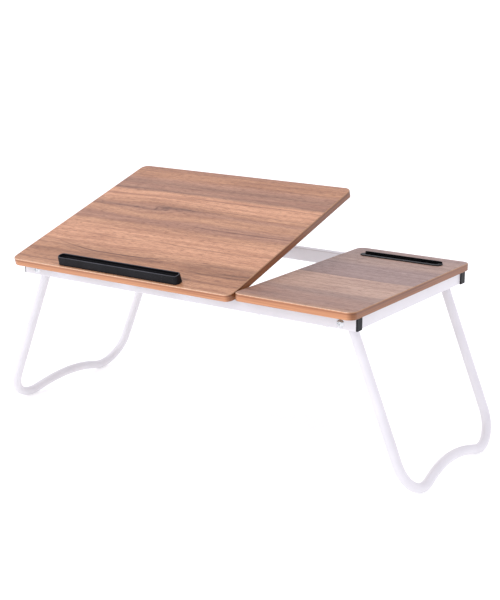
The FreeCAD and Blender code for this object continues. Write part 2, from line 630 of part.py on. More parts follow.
# ---- legs ----
def leg_path():
    """Outline of a leg in its own plane: pivot line at z = 0, two feet and a hump below."""
    width = LEG_HALF_WIDTH
    rise = math.radians(FOOT_RISE_ANGLE)
    foot_y = width - FOOT_BEND
    foot_z = -(FOOT_REACH - FOOT_BEND)
    bend_end_y = foot_y - FOOT_BEND * math.sin(rise)
    bend_end_z = foot_z - FOOT_BEND * math.cos(rise)
    hump_z = -(FOOT_REACH - HUMP_RISE)
    climb = bend_end_y * math.tan(rise) - (hump_z - bend_end_z)
    hump_radius = climb / (math.tan(rise) * math.sin(rise) - (1 - math.cos(rise)))
    hump_y = hump_radius * math.sin(rise)
    hump_end_z = hump_z - hump_radius * (1 - math.cos(rise))
    mid_angle = (math.pi / 2 - rise) / 2
    bend_mid_y = foot_y + FOOT_BEND * math.sin(mid_angle)
    bend_mid_z = foot_z - FOOT_BEND * math.cos(mid_angle)

    def at(y, z):
        return Vector(0, y, z)

    front = [line(at(-width, LEG_TOP_LENGTH), at(-width, foot_z)),
             Part.Arc(at(-width, foot_z), at(-bend_mid_y, bend_mid_z), at(-bend_end_y, bend_end_z)).toShape(),
             line(at(-bend_end_y, bend_end_z), at(-hump_y, hump_end_z))]
    hump = Part.Arc(at(-hump_y, hump_end_z), at(0, hump_z), at(hump_y, hump_end_z)).toShape()
    rear = [line(at(hump_y, hump_end_z), at(bend_end_y, bend_end_z)),
            Part.Arc(at(bend_end_y, bend_end_z), at(bend_mid_y, bend_mid_z), at(width, foot_z)).toShape(),
            line(at(width, foot_z), at(width, LEG_TOP_LENGTH))]
    return front + [hump] + rear


def leg_placed(shape, side):
    """Splay a leg part outwards about its pivot line; side is -1 left, 1 right."""
    moved = shape.copy()
    moved.rotate(Vector(0, 0, 0), BACK, -side * LEG_SPLAY)
    moved.translate(Vector(side * LEG_PIVOT_X, LEG_CENTRE_Y, LEG_PIVOT_Z))
    return moved


def build_legs():
    path = leg_path()
    tube = swept(path, TUBE_RADIUS).cut(swept(path, TUBE_RADIUS - TUBE_WALL))
    reach = LEG_HALF_WIDTH + 2 * TUBE_RADIUS
    tube = tube.cut(rod(BOLT_RADIUS + FIT_GAP, Vector(0, -reach, 0), BACK, 2 * reach))
    for side_name, side in (("left", -1), ("right", 1)):
        export(side_name + "_leg_tube", leg_placed(tube, side))
        for end_name, end in (("front", -1), ("rear", 1)):
            y = end * LEG_HALF_WIDTH
            head = rod(TUBE_RADIUS, Vector(0, y, LEG_TOP_LENGTH), UP, LEG_PLUG_FLANGE)
            head_top = edges_at_height(head, LEG_TOP_LENGTH + LEG_PLUG_FLANGE)
            head = head.makeFillet(LEG_PLUG_FLANGE / 2, head_top)
            stem = rod(TUBE_RADIUS - TUBE_WALL - PLUG_GAP, Vector(0, y, LEG_TOP_LENGTH - LEG_PLUG_DEPTH),
                       UP, LEG_PLUG_DEPTH)
            plug = head.fuse(stem).removeSplitter()
            export(side_name + "_leg_" + end_name + "_plug", leg_placed(plug, side))


def build_leg_pivots():
    bolt = domed_screw((BOLT_HEAD_RADIUS, BOLT_HEAD_HEIGHT), BOLT_RADIUS, BOLT_LENGTH)
    spacer_length = LEG_SIDE_GAP - RUN_GAP
    bolts, spacers, washers, nuts = [], [], [], []
    for side in (-1, 1):
        x = side * LEG_PIVOT_X
        for face_y, inner_y, inward in ((FRONT_FACE_Y, FRONT_INNER_Y, 1), (REAR_FACE_Y, REAR_INNER_Y, -1)):
            heading = BACK * inward
            bolts.append(placed(bolt, Vector(x, face_y, LEG_PIVOT_Z), heading * -1))
            at_rail = Vector(x, inner_y, LEG_PIVOT_Z)
            hole = rod(BOLT_RADIUS + PLUG_GAP, at_rail, heading, BOLT_LENGTH)
            spacers.append(rod(SPACER_RADIUS, at_rail, heading, spacer_length).cut(hole))
            past_leg = at_rail + heading * (LEG_SIDE_GAP + 2 * TUBE_RADIUS + RUN_GAP)
            washers.append(rod(WASHER_RADIUS, past_leg, heading, WASHER_THICKNESS).cut(hole))
            nut_start = past_leg + heading * WASHER_THICKNESS
            nuts.append(lock_nut(nut_start, heading).cut(hole))
    export("leg_pivot_bolts", bolts)
    export("leg_spacers", spacers)
    export("nut_washers", washers)
    export("leg_lock_nuts", nuts)


def lock_nut(start, heading):
    """A hexagon with a round collar that holds the locking ring."""
    corner = NUT_ACROSS_FLATS / math.sqrt(3)
    hexagon = Part.makePolygon([Vector(corner * math.cos(math.radians(60 * i)),
                                       corner * math.sin(math.radians(60 * i)), 0) for i in range(7)])
    body = Part.Face(hexagon).extrude(UP * (NUT_HEIGHT * NUT_HEX_SHARE))
    collar = rod(NUT_ACROSS_FLATS / 2 - NUT_COLLAR_STEP, Vector(0, 0, 0), UP, NUT_HEIGHT)
    collar = collar.makeFillet(NUT_COLLAR_ROUND, edges_at_height(collar, NUT_HEIGHT))
    return placed(body.fuse(collar).removeSplitter(), start, heading)


def build_stop_pads():
    """Thin pads low on the end rails, where the open legs bear."""
    pads = []
    z0 = RAIL_BOTTOM + RAIL_CORNER
    for side in (-1, 1):
        x0, x1 = sorted((side * END_RAIL_INNER_X, side * (END_RAIL_INNER_X - PAD_THICKNESS)))
        for y in (LEG_FRONT_Y, LEG_REAR_Y):
            pads.append(box(x0, x1, y - PAD_HALF_WIDTH, y + PAD_HALF_WIDTH, z0, z0 + PAD_HEIGHT))
    export("leg_stop_pads", pads)


def main():
    os.makedirs("parts", exist_ok=True)
    build_long_rails()
    build_cross_rails()
    build_end_caps()
    build_fixed_board()
    build_fixed_board_screws()
    build_slot_insert()
    build_tilting_board()
    build_hinges()
    build_book_stop()
    build_prop()
    build_racks()
    build_legs()
    build_leg_pivots()
    build_stop_pads()


main()
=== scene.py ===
import bmesh
import bpy
import json
import math
from mathutils import Matrix, Vector


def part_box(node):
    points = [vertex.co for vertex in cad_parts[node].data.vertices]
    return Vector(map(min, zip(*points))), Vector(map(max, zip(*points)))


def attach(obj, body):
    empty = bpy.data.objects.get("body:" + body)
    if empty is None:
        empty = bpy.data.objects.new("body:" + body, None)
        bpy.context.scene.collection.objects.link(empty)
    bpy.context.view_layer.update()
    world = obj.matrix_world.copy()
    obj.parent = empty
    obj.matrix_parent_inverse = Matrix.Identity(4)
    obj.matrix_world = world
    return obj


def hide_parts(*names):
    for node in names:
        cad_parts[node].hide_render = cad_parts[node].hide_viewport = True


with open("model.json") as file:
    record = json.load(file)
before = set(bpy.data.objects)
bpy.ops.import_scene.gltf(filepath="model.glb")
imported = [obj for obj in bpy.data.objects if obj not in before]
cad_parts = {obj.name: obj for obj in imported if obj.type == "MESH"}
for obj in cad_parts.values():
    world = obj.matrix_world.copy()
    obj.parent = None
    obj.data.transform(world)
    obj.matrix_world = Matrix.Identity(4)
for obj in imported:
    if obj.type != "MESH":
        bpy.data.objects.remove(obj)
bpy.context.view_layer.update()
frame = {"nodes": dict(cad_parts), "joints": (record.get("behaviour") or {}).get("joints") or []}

# Sizes are in metres; MM turns a maker's millimetres into them.
MM = 0.001
TINY = 0.02 * MM
BOARD_CORNER = 11 * MM
BOARD_EDGE = 1.2 * MM
SLOT_LENGTH = 113 * MM
SLOT_WIDTH = 8.4 * MM
LINER_WALL = 1.5 * MM
LINER_RIM = 1.2 * MM         # height of the flat rim above the board
LINER_LIP = 2.4 * MM         # depth of the raised lip behind the slot
LINER_BACK = 3.4 * MM        # slot to the liner's rear edge
LIP_EDGE = 0.7 * MM
RIM_EDGE = 0.35 * MM
STOP_CORNER = 6 * MM
STOP_DRAFT = 1.0 * MM        # how much narrower the stop is at its top
STOP_WALL = 1.6 * MM
STOP_GROOVE = 4 * MM
STOP_HIGHLIGHT_BAND = 0.6 * MM          # height of the band that takes the painted rim highlight
STOP_EDGE = 0.45 * MM
GROOVE_EDGE = 0.5 * MM
WELL_INSET = 7 * MM          # end of the stop to a screw well
WELL_DEPTH = 6 * MM          # from the stop's top, through the groove
WELL_CUT = 3 * MM
WELL_RADIUS = 3.6 * MM
CAP_CORNER = 1.5 * MM
CAP_EDGE = 0.7 * MM
CAP_STEP = 1.3 * MM          # flange past the plug
CAP_PLUG = 9 * MM

# The painted shade on a board's side strips fades in between these millimetres from its end.
SIDE_SHADE_FULL = 3
SIDE_SHADE_NONE = 9
BAND_LINE = 2.4              # millimetres from a board's top to a thin dark line along its band

# A board's material slots.
LAMINATE, BAND, BACKING, EDGE_HIGHLIGHT = range(4)

JOINTS = {joint["name"]: joint for joint in frame["joints"]}
HINGE = Vector(JOINTS["board_tilt"]["pos_m"])
TILT = -math.radians(JOINTS["board_tilt"]["range_deg"][0])
LEVEL = Matrix.Translation(HINGE) @ Matrix.Rotation(-TILT, 4, "X") @ Matrix.Translation(-HINGE)


# ---- modelling by hand ----
def flat_box(node):
    """A tilting board node's corners, as if the board lay flat."""
    points = [LEVEL @ v.co for v in frame["nodes"][node].data.vertices]
    low = [min(p[axis] for p in points) for axis in range(3)]
    high = [max(p[axis] for p in points) for axis in range(3)]
    return Vector(low), Vector(high)


def activate(piece):
    bpy.ops.object.select_all(action="DESELECT")
    piece.select_set(True)
    bpy.context.view_layer.objects.active = piece


def settle(piece):
    """Put the object's own place and size into its mesh."""
    activate(piece)
    bpy.ops.object.transform_apply(location=True, rotation=True, scale=True)


def block(name, low, high):
    """A block primitive between two corners."""
    bpy.ops.object.select_all(action="DESELECT")
    bpy.ops.mesh.primitive_cube_add(size=1, location=(low + high) / 2)
    piece = bpy.context.object
    piece.name = piece.data.name = name
    piece.scale = high - low
    settle(piece)
    return piece


def rod(name, start, end, radius, sides=32):
    """A cylinder primitive between two points."""
    bpy.ops.object.select_all(action="DESELECT")
    turn = (end - start).to_track_quat("Z", "Y").to_euler()
    bpy.ops.mesh.primitive_cylinder_add(vertices=sides, radius=radius, depth=(end - start).length,
                                        location=(start + end) / 2, rotation=turn)
    piece = bpy.context.object
    piece.name = piece.data.name = name
    settle(piece)
    return piece


def pick(kind, test):
    """In edit mode, select only the edges or faces that pass a test."""
    bpy.ops.mesh.select_mode(type=kind)
    bpy.ops.mesh.select_all(action="DESELECT")
    mesh = bmesh.from_edit_mesh(bpy.context.edit_object.data)
    for item in mesh.edges if kind == "EDGE" else mesh.faces:
        if test(item):
            item.select_set(True)
    bmesh.update_edit_mesh(bpy.context.edit_object.data)


def runs_along(axis):
    def test(edge):
        step = (edge.verts[1].co - edge.verts[0].co).normalized()
        return abs(step[axis]) > 0.999
    return test


def lies_at(axis, place):
    def test(item):
        return all(abs(v.co[axis] - place) < TINY for v in item.verts)
    return test


def outline_at(axis, place):
    """Edges of a flat outline, not those that cross a face inside it."""
    flat = lies_at(axis, place)

    def test(edge):
        if not flat(edge):
            return False
        return any(abs(face.normal[axis]) < 0.9 for face in edge.link_faces)
    return test


def soften(width, segments):
    bpy.ops.mesh.bevel(offset=width, segments=segments, affect="EDGES")


def edit(piece):
    activate(piece)
    bpy.ops.object.mode_set(mode="EDIT")


def done():
    bpy.ops.object.mode_set(mode="OBJECT")


def carve(piece, *cutters):
    """Cut each cutter's shape out of a piece."""
    for cutter in cutters:
        activate(piece)
        cut = piece.modifiers.new("cut", "BOOLEAN")
        cut.operation = "DIFFERENCE"
        cut.solver = "EXACT"
        cut.object = cutter
        bpy.ops.object.modifier_apply(modifier=cut.name)
        bpy.data.objects.remove(cutter)


def tilt_up(piece):
    """Swing a piece drawn on the flat board up to the level it is used at."""
    activate(piece)
    bpy.ops.transform.rotate(value=-TILT, orient_axis="X", center_override=HINGE)
    settle(piece)


def smooth(piece, angle=40):
    """Round faces shade round, flat faces stay flat."""
    activate(piece)
    bpy.ops.object.shade_smooth_by_angle(angle=math.radians(angle))
    weigh = piece.modifiers.new("weigh", "WEIGHTED_NORMAL")
    weigh.keep_sharp = True
    bpy.ops.object.modifier_apply(modifier=weigh.name)


def fit(piece, body, slot, *nodes):
    """Smooth a finished piece, hand it to its body and hide the nodes it stands for; the slot is not used.
    """
    smooth(piece)
    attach(piece, body)
    if nodes:
        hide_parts(*nodes)


# ---- materials ----
def linear(hex_colour):
    """sRGB hex to the linear colour that shaders use."""
    values = [int(hex_colour[i:i + 2], 16) / 255 for i in (1, 3, 5)]
    return [v / 12.92 if v <= 0.04045 else ((v + 0.055) / 1.055) ** 2.4 for v in values] + [1.0]


def finish(name, colour, roughness, **settings):
    """A material whose shader starts from a colour, a roughness and any other of its own sockets."""
    material = bpy.data.materials.new(name)
    material.use_nodes = True
    shader = material.node_tree.nodes["Principled BSDF"]
    shader.inputs["Base Color"].default_value = linear(colour)
    shader.inputs["Roughness"].default_value = roughness
    for key, value in settings.items():
        shader.inputs[key.replace("_", " ")].default_value = value
    return material, shader


def add(material, kind, settings=None, links=None):
    """One node, its settings (a property, an input's name or its number) and what feeds it."""
    node = material.node_tree.nodes.new("ShaderNode" + kind)
    for key, value in (settings or {}).items():
        if key == "stops":
            steps = node.color_ramp.elements
            for place, colour in value[1:-1]:
                steps.new(place)
            for step, (place, colour) in zip(steps, value):
                step.position = place
                step.color = linear(colour)
        elif isinstance(key, int) or key in node.inputs:
            node.inputs[key].default_value = value
        else:
            setattr(node, key, value)
    for key, socket in (links or {}).items():
        material.node_tree.links.new(socket, node.inputs[key])
    return node


def feed(shader, name, socket):
    """Let a pattern drive one of the shader's own sockets."""
    shader.id_data.links.new(socket, shader.inputs[name])


def millimetres(material, origin=(0, 0, 0), turn=0.0):
    """Object coordinates in millimetres from a corner of the piece, level with its face."""
    place = add(material, "TexCoord")
    return add(material, "Mapping", {"vector_type": "TEXTURE", "Location": origin, "Rotation": (turn, 0, 0),
                                     "Scale": (MM, MM, MM)}, {"Vector": place.outputs["Object"]}).outputs[0]


def sums(material, operation, a, b):
    """A sum of two numbers or sockets."""
    node = add(material, "Math", {"operation": operation})
    for index, value in enumerate((a, b)):
        if isinstance(value, bpy.types.NodeSocket):
            material.node_tree.links.new(value, node.inputs[index])
        else:
            node.inputs[index].default_value = value
    return node.outputs[0]


def swell(material, place, centre, reach):
    """One at a point of the board, falling softly to nothing at its reach in millimetres."""
    near = add(material, "Mapping", {
        "vector_type": "TEXTURE", "Location": (*centre, 0), "Scale": (*reach, 1)}, {"Vector": place})
    ball = add(material, "TexGradient", {"gradient_type": "SPHERICAL"}, {"Vector": near.outputs[0]})
    return add(material, "MapRange", {"interpolation_type": "SMOOTHSTEP"}, {0: ball.outputs[1]}).outputs[0]


def streaks(material, place, length, width, detail=3.0, roughness=0.55):
    """Fibres of a given length along the grain and width across it, in millimetres."""
    drawn = add(material, "Mapping", {"Scale": (1 / length, 1 / width, 1)}, {"Vector": place})
    return add(material, "TexNoise", {"Scale": 1.0, "Detail": detail, "Roughness": roughness},
               {"Vector": drawn.outputs[0]}).outputs[0]


def shade(material, colour, amount, tone):
    """Multiply a colour by a darker tone where the amount says so."""
    return add(material, "Mix", {"data_type": "RGBA", "blend_type": "MULTIPLY", 7: linear(tone)},
               {0: amount, 6: colour}).outputs[2]


def clip(material, value, low, high, new_low=0.0, new_high=1.0):
    """Stretch the part of a pattern between two values to a new range."""
    return add(material, "MapRange", {1: low, 2: high, 3: new_low, 4: new_high}, {0: value}).outputs[0]


def vein(material, along, across, colour, middle, half, rise, width, amount):
    """One thin dark line of the print: a shallow curve that fades out towards both ends."""
    run = sums(material, "DIVIDE", sums(material, "SUBTRACT", along, middle[0]), half)
    square = sums(material, "MULTIPLY", run, run)
    line = sums(material, "ADD", sums(material, "MULTIPLY", square, rise), middle[1])
    off = sums(material, "ABSOLUTE", sums(material, "SUBTRACT", across, line), 0.0)
    inside = clip(material, off, 0.0, width, amount, 0.0)
    fade = clip(material, square, 0.3, 1.0, 1.0, 0.0)
    return shade(material, colour, sums(material, "MULTIPLY", inside, fade), "#7c5c4c")


def grained(material, shader, place, depth, bands, knots, veins):
    """Printed walnut: broad soft bands, fibres and pores, bent round knots, with a few dark veins."""
    parts = add(material, "SeparateXYZ", links={0: place})
    drift = streaks(material, place, 230, 60, detail=1.5)
    wobble = streaks(material, place, 60, 14, detail=2.0)
    tremble = clip(material, wobble, 0, 1, -3, 3)
    across = sums(material, "ADD", parts.outputs[1], clip(material, drift, 0, 1, -8, 8))
    across = sums(material, "ADD", across, tremble)
    for centre, reach, squeeze in knots:
        near = swell(material, place, centre, reach)
        off = sums(material, "SUBTRACT", parts.outputs[1], centre[1])
        pull = sums(material, "MULTIPLY", sums(material, "MULTIPLY", near, off), -squeeze)
        across = sums(material, "ADD", across, pull)
    warped = add(material, "CombineXYZ", links={0: parts.outputs[0], 1: across}).outputs[0]

    ramp = add(material, "ValToRGB", {"stops": bands}, {0: sums(material, "DIVIDE", across, depth)})
    colour = ramp.outputs[0]
    broad = streaks(material, warped, 300, 9, detail=4.0)
    colour = shade(material, colour, clip(material, broad, 0.42, 0.72, 0, 0.55), "#a9877a")
    fibres = streaks(material, warped, 60, 1.5, detail=5.0, roughness=0.7)
    colour = shade(material, colour, clip(material, fibres, 0.44, 0.72, 0, 0.75), "#a5806f")
    pores = streaks(material, warped, 11, 0.6, detail=2.0)
    colour = shade(material, colour, clip(material, pores, 0.5, 0.68, 0, 0.75), "#94715f")
    trembling = sums(material, "ADD", parts.outputs[1], tremble)
    for line in veins:
        colour = vein(material, parts.outputs[0], trembling, colour, *line)
    # a knot's soft ground, its eye and the smear beside it: offset, reach and darkness
    stains = ((-3, (16, 5), 0.3), (9, (9, 3.5), 0.45), (30, (44, 4), 0.45))
    for (along, level), _, _ in knots:
        for offset, size, amount in stains:
            smear = swell(material, warped, (along + offset, level), size)
            colour = shade(material, colour, clip(material, smear, 0, 0.7, 0, amount), "#806152")
    feed(shader, "Base Color", colour)
    gloss = clip(material, pores, 0.4, 0.8, 0.36, 0.5)
    feed(shader, "Roughness", gloss)
    emboss = add(material, "Bump", {"Strength": 0.25, "Distance": 0.06 * MM, "invert": True},
                 {"Height": clip(material, pores, 0.5, 0.75)})
    feed(shader, "Normal", emboss.outputs[0])


def walnut_reading(origin, depth):
    """Melamine laminate printed as walnut: a satin film with faint pressed pores."""
    material, shader = finish("walnut_melamine_reading_board", "#c99a78", 0.4)
    honey, tan, fawn, brown, umber = "#e2aa84", "#d29e79", "#c48f6a", "#bb8b70", "#a87d64"
    # distance from the front edge, as a share of the board's depth, and the print's ground tone there
    bands = [(0.0, tan), (0.14, fawn), (0.19, tan), (0.25, honey), (0.36, honey), (0.43, tan), (0.46, brown),
             (0.50, brown), (0.53, tan), (0.575, tan), (0.60, brown), (0.625, tan), (0.67, honey),
             (0.745, honey), (0.765, umber), (0.80, brown), (0.835, umber), (0.87, brown), (0.90, fawn),
             (0.96, fawn), (1.0, brown)]
    # where the knot is, how far it bends the fibres and how much
    knots = [((126, 190), (130, 46), 0.7)]
    # middle of each vein, half its length, how far its ends rise, its half width and its darkness
    veins = [((145, 52), 105, 13, 2.0, 0.95), ((150, 46), 130, 15, 6.0, 0.4), ((60, 40), 90, -4, 7.0, 0.4),
             ((210, 20), 200, 3, 5.0, 0.35), ((60, 14), 90, 2, 2.0, 0.4), ((230, 33), 110, -3, 1.6, 0.45),
             ((118, 94), 60, 3, 1.6, 0.45), ((270, 96), 160, 14, 2.0, 0.35), ((330, 38), 60, 5, 2.0, 0.6),
             ((370, 47), 60, -8, 2.4, 0.6), ((355, 60), 105, -5, 9.0, 0.5), ((340, 44), 90, 3, 12.0, 0.35),
             ((310, 150), 110, 2, 1.8, 0.6), ((330, 156), 120, 3, 1.6, 0.35),
             ((60, 186), 80, -2, 4.5, 0.5), ((190, 194), 60, 2, 3.0, 0.5), ((300, 201), 130, -4, 1.6, 0.55),
             ((250, 229), 180, -4, 1.4, 0.5), ((80, 222), 110, -4, 1.4, 0.3), ((60, 242), 120, 0, 2.0, 0.4),
             ((300, 280), 120, -3, 1.4, 0.35)]
    grained(material, shader, millimetres(material, origin, TILT), depth, bands, knots, veins)
    return material


def walnut_side_painted_sheen(origin, depth):
    """The same printed laminate, its own stretch of the print, with its tones greyed by painted sheen."""
    material, shader = finish("walnut_melamine_side_board_painted_sheen", "#a98471", 0.4)
    # the print's tones here are greyed and tinted mauve: painted sheen
    rose, dun, mauve, dusk, russet = "#cba68f", "#b29180", "#a88a81", "#ab836f", "#b98b6c"
    bands = [(0.0, russet), (0.05, dusk), (0.14, dusk), (0.21, dun), (0.26, rose), (0.47, rose),
             (0.485, mauve), (0.68, mauve), (0.75, dun), (0.85, dun), (1.0, mauve)]
    veins = [((60, 154), 120, 1, 1.8, 0.4), ((110, 100), 90, 2, 1.5, 0.4), ((90, 75), 110, 2, 1.5, 0.45),
             ((100, 62), 90, -3, 4.0, 0.25), ((20, 28), 40, 2, 4.0, 0.45)]
    grained(material, shader, millimetres(material, origin), depth, bands, (), veins)
    return material


def painted_side_shade(material, along, width, colour, tone):
    """Painted shade on the strips of the two sides, darker than the front strip; it fades in round the
    corners.
    """
    right = clip(material, along, width - SIDE_SHADE_NONE, width - SIDE_SHADE_FULL)
    left = clip(material, along, SIDE_SHADE_FULL, SIDE_SHADE_NONE, 1.0, 0.0)
    return shade(material, colour, sums(material, "ADD", left, right), tone)


def edge_band(name, origin, width, turn=0.0):
    """PVC edge band in walnut: a thin strip, glossier than the laminate and more orange."""
    material, shader = finish(name, "#cc9068", 0.34)
    place = millimetres(material, origin, turn)
    parts = add(material, "SeparateXYZ", links={0: place})
    along = sums(material, "ADD", parts.outputs[0], parts.outputs[1])
    strip = add(material, "CombineXYZ", links={0: along, 1: parts.outputs[2]}).outputs[0]
    fibres = streaks(material, strip, 90, 1.6, detail=4.0, roughness=0.6)
    wide = streaks(material, strip, 240, 5.0, detail=2.0)
    ramp = add(material, "ValToRGB", {"stops": [(0.3, "#d79c73"), (0.52, "#c98c63"), (0.75, "#ab714e")]},
               {0: fibres})
    colour = shade(material, ramp.outputs[0], clip(material, wide, 0.4, 0.7, 0, 0.5), "#b8968a")
    line = sums(material, "ABSOLUTE", sums(material, "ADD", parts.outputs[2], BAND_LINE), 0.0)
    colour = shade(material, colour, clip(material, line, 0.2, 1.1, 0.4, 0.0), "#8a6553")
    # the side strips darkened: painted shade
    colour = painted_side_shade(material, parts.outputs[0], width, colour, "#b3a48f")
    feed(shader, "Base Color", colour)
    emboss = add(material, "Bump", {"Strength": 0.2, "Distance": 0.05 * MM}, {"Height": fibres})
    feed(shader, "Normal", emboss.outputs[0])
    return material


def painted_edge_highlight(name, origin, width, turn=0.0):
    """The rounded top of the edge band, paler than the band and with scraper marks: a painted highlight
    along the eased edge.
    """
    material, shader = finish(name, "#e0b896", 0.28)
    place = millimetres(material, origin, turn)
    marks = streaks(material, place, 3, 3, detail=4.0)
    ramp = add(material, "ValToRGB", {"stops": [(0.3, "#ecc9ab"), (0.7, "#cf9f7c")]}, {0: marks})
    parts = add(material, "SeparateXYZ", links={0: place})
    # the edge highlight dimmed along the sides: painted shade
    colour = painted_side_shade(material, parts.outputs[0], width, ramp.outputs[0], "#c2b29f")
    feed(shader, "Base Color", colour)
    return material


def backing_sheet():
    """Plain melamine balance sheet under a board: warm grey brown, dull, with a faint mottle."""
    material, shader = finish("melamine_balance_sheet", "#8f735f", 0.55)
    place = millimetres(material)
    mottle = streaks(material, place, 60, 9, detail=4.0)
    ramp = add(material, "ValToRGB", {"stops": [(0.3, "#9c806b"), (0.7, "#836853")]}, {0: mottle})
    feed(shader, "Base Color", ramp.outputs[0])
    return material


def powder_coat():
    """White polyester powder coat on steel: bright satin film with a fine orange peel."""
    material, shader = finish("white_polyester_powder_coat", "#dfdde1", 0.34,
                              Coat_Weight=0.15, Coat_Roughness=0.2)
    place = millimetres(material)
    cloud = add(material, "TexNoise", {"Scale": 1 / 45, "Detail": 2.0}, {"Vector": place}).outputs[0]
    ramp = add(material, "ValToRGB", {"stops": [(0.35, "#e1dfe3"), (0.7, "#dbd9dd")]}, {0: cloud})
    feed(shader, "Base Color", ramp.outputs[0])
    peel = add(material, "TexNoise", {"Scale": 1 / 1.6, "Detail": 2.0, "Roughness": 0.4}, {"Vector": place})
    bump = add(material, "Bump", {"Strength": 0.35, "Distance": 0.04 * MM}, {"Height": peel.outputs[0]})
    feed(shader, "Normal", bump.outputs[0])
    return material


def moulded(name, light, dark, roughness, grain=0.6):
    """Injection-moulded plastic: an even colour under a fine spark-eroded texture."""
    material, shader = finish(name, light, roughness, Specular_IOR_Level=0.15)
    place = millimetres(material)
    cloud = add(material, "TexNoise", {"Scale": 1 / 18, "Detail": 3.0}, {"Vector": place}).outputs[0]
    ramp = add(material, "ValToRGB", {"stops": [(0.35, light), (0.7, dark)]}, {0: cloud})
    feed(shader, "Base Color", ramp.outputs[0])
    sparks = add(material, "TexNoise", {"Scale": 1 / grain, "Detail": 1.0}, {"Vector": place}).outputs[0]
    sheen = clip(material, cloud, 0.3, 0.7, roughness - 0.05, roughness + 0.06)
    feed(shader, "Roughness", sheen)
    bump = add(material, "Bump", {"Strength": 0.4, "Distance": 0.03 * MM}, {"Height": sparks})
    feed(shader, "Normal", bump.outputs[0])
    return material


def plated(name, light, dark, roughness):
    """Plated steel: bright metal with faint clouds left by the bath."""
    material, shader = finish(name, light, roughness, Metallic=1.0)
    place = millimetres(material)
    cloud = add(material, "TexNoise", {"Scale": 1 / 4, "Detail": 3.0}, {"Vector": place}).outputs[0]
    ramp = add(material, "ValToRGB", {"stops": [(0.35, light), (0.7, dark)]}, {0: cloud})
    feed(shader, "Base Color", ramp.outputs[0])
    dull = clip(material, cloud, 0.3, 0.7, roughness - 0.06, roughness + 0.1)
    feed(shader, "Roughness", dull)
    return material


# ---- boards ----
def board(name, low, high, top, band, backing, highlight):
    """A laminated board: square sheet, round plan corners, eased edges."""
    piece = block(name, low, high)
    for material in (top, band, backing, highlight):
        piece.data.materials.append(material)
    edit(piece)
    pick("EDGE", runs_along(2))
    soften(BOARD_CORNER, 14)
    pick("EDGE", outline_at(2, high.z))
    soften(BOARD_EDGE, 4)
    pick("EDGE", outline_at(2, low.z))
    soften(BOARD_EDGE / 2, 3)
    done()
    # The rounded top edge takes the paler material: a painted highlight.
    for face in piece.data.polygons:
        face.material_index = BACKING if face.normal.z < -0.999 else BAND
        if face.normal.z > 0.999:
            face.material_index = LAMINATE
        elif face.normal.z > 0.25:
            face.material_index = EDGE_HIGHLIGHT
    return piece


def make_boards():
    low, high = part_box("fixed_board")
    corner = Vector((low.x, low.y, high.z))
    backing = backing_sheet()
    width, depth = (high.x - low.x) / MM, (high.y - low.y) / MM
    fixed = board("side_board", low, high, walnut_side_painted_sheen(corner, depth),
                  edge_band("pvc_edge_band_side_board", corner, width), backing,
                  painted_edge_highlight("painted_highlight_edge_side_board", corner, width))
    slot_low, slot_high = slot_box()
    room = LINER_WALL + TINY
    slot = stadium("slot_cutter", Vector((slot_low.x - room, slot_low.y - room, low.z - MM)),
                   Vector((slot_high.x + room, slot_high.y + room, high.z + MM)))
    carve(fixed, slot)
    fit(fixed, "frame", "walnut_laminate", "fixed_board")

    low, high = flat_box("tilting_board")
    corner = LEVEL.inverted() @ Vector((low.x, low.y, high.z))
    width, depth = (high.x - low.x) / MM, (high.y - low.y) / MM
    reading = board("reading_board", low, high, walnut_reading(corner, depth),
                    edge_band("pvc_edge_band_reading_board", corner, width, TILT), backing,
                    painted_edge_highlight("painted_highlight_edge_reading_board", corner, width, TILT))
    tilt_up(reading)
    fit(reading, "tilting_board", "walnut_laminate", "tilting_board")


# ---- tablet slot liner ----
def slot_box():
    """The opening through the liner."""
    low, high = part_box("tablet_slot_insert")
    middle = (low.x + high.x) / 2
    rear = high.y - LINER_BACK
    return (Vector((middle - SLOT_LENGTH / 2, rear - SLOT_WIDTH, low.z)),
            Vector((middle + SLOT_LENGTH / 2, rear, high.z)))


def stadium(name, low, high):
    """A long block with half-round ends."""
    piece = block(name, low, high)
    edit(piece)
    pick("EDGE", runs_along(2))
    soften((high.y - low.y) / 2 - TINY, 14)
    done()
    return piece


def make_slot_liner(plastic, glossy_painted_shade):
    """A push-in liner: flat rim at the front, raised lip at the rear, wall through the board."""
    low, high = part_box("tablet_slot_insert")
    board_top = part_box("fixed_board")[1].z
    rim = board_top + LINER_RIM
    piece = stadium("tablet_slot_liner", Vector((low.x, low.y, board_top)), high)
    edit(piece)
    pick("EDGE", outline_at(2, high.z))
    soften(LIP_EDGE, 4)
    done()
    step = block("rim_step", Vector((low.x - MM, low.y - MM, rim)),
                 Vector((high.x + MM, high.y - LINER_LIP, high.z + MM)))
    carve(piece, step)
    edit(piece)
    pick("EDGE", outline_at(2, rim))
    soften(RIM_EDGE, 3)
    done()
    slot_low, slot_high = slot_box()
    grow = Vector((LINER_WALL, LINER_WALL, 0))
    wall = stadium("liner_wall", slot_low - grow,
                   Vector((slot_high.x, slot_high.y, board_top + TINY)) + grow)
    activate(piece)
    union = piece.modifiers.new("union", "BOOLEAN")
    union.operation = "UNION"
    union.object = wall
    bpy.ops.object.modifier_apply(modifier=union.name)
    bpy.data.objects.remove(wall)
    carve(piece, stadium("slot_way", slot_low - Vector((0, 0, MM)), slot_high + Vector((0, 0, MM))))
    piece.data.materials.append(plastic)
    piece.data.materials.append(glossy_painted_shade)
    # Faces that don't face up take a darker, glossier black: painted shade on the wall and in the bore.
    for face in piece.data.polygons:
        face.material_index = 0 if face.normal.z > 0.3 else 1
    fit(piece, "frame", "black_plastic", "tablet_slot_insert")


